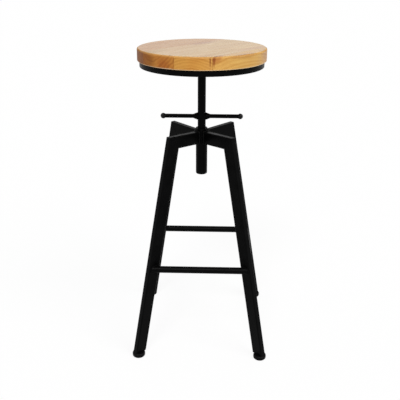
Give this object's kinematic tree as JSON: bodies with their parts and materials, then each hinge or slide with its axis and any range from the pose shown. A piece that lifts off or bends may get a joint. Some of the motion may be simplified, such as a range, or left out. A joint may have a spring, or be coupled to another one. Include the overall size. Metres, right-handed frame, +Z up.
{
  "type": "bar stool",
  "caption": "Bar stool with a round wooden seat that swivels on a screw spindle, a T-handle that raises and lowers it, and a splayed black tube frame with foot rungs.",
  "frame": {"origin": "on the floor under the spindle's axis, midway between the feet", "axes": "+Z up the spindle, -Y to the front, +X along the T-handle; legs on the diagonals"},
  "size_m": [0.3472, 0.3472, 0.77],
  "materials": {
    "frame_black": "satin black powder coat",
    "spindle_black": "satin black, smoother than the frame",
    "seat_wood": "clear satin lacquer over glued softwood staves",
    "foot_plastic": "moulded black plastic",
    "knob_black": "glossy black",
    "plain_steel": "zinc plated or ground",
    "bush_bronze": "plain bearing bronze",
    "guide_nylon": "natural nylon"
  },
  "bodies": {
    "base": {"leg_front_left": "frame_black", "leg_front_right": "frame_black", "leg_rear_right": "frame_black", "leg_rear_left": "frame_black", "arm_front_left": "frame_black", "arm_front_right": "frame_black", "arm_rear_right": "frame_black", "arm_rear_left": "frame_black", "foot_front_left": "foot_plastic", "foot_front_right": "foot_plastic", "foot_rear_right": "foot_plastic", "foot_rear_left": "foot_plastic", "rung_front": "frame_black", "rung_right": "frame_black", "rung_rear": "frame_black", "rung_left": "frame_black", "hub_sleeve": "frame_black", "threaded_bush": "frame_black", "sleeve_end_cap": "foot_plastic"},
    "guide": {"guide_bush": "guide_nylon"},
    "spindle": {"spindle": "spindle_black", "guide_washer": "plain_steel", "guide_screw": "plain_steel", "handle_arm_left": "spindle_black", "handle_arm_right": "spindle_black", "ball_knob_left": "knob_black", "ball_knob_right": "knob_black", "swivel_collar": "spindle_black", "thrust_race_lower": "plain_steel", "thrust_balls": "plain_steel", "ball_cage": "bush_bronze", "top_washer": "plain_steel", "top_nut": "plain_steel"},
    "seat": {"seat_stave_1": "seat_wood", "seat_stave_2": "seat_wood", "seat_stave_3": "seat_wood", "seat_stave_4": "seat_wood", "seat_ring": "frame_black", "seat_bar_1": "frame_black", "seat_bar_2": "frame_black", "seat_bar_3": "frame_black", "seat_bar_4": "frame_black", "swivel_housing": "frame_black", "pivot_bush": "bush_bronze", "thrust_race_upper": "plain_steel", "seat_screws": "plain_steel"}
  },
  "joints": [
    {"name": "spindle_lift", "type": "slide", "parent": "base", "child": "guide", "axis": [0, 0, 1], "range_m": [-0.018, 0.05]},
    {"name": "spindle_turn", "type": "hinge", "parent": "guide", "child": "spindle", "pos_m": [0, 0, 0.5], "axis": [0, 0, 1], "range_deg": [-1620, 4500]},
    {"name": "seat_swivel", "type": "hinge", "parent": "spindle", "child": "seat", "pos_m": [0, 0, 0.73], "axis": [0, 0, 1], "continuous": true}
  ],
  "couplings": [
    {"joint": "spindle_lift", "follows": "spindle_turn", "m_per_rad": 0.00063662}
  ]
}
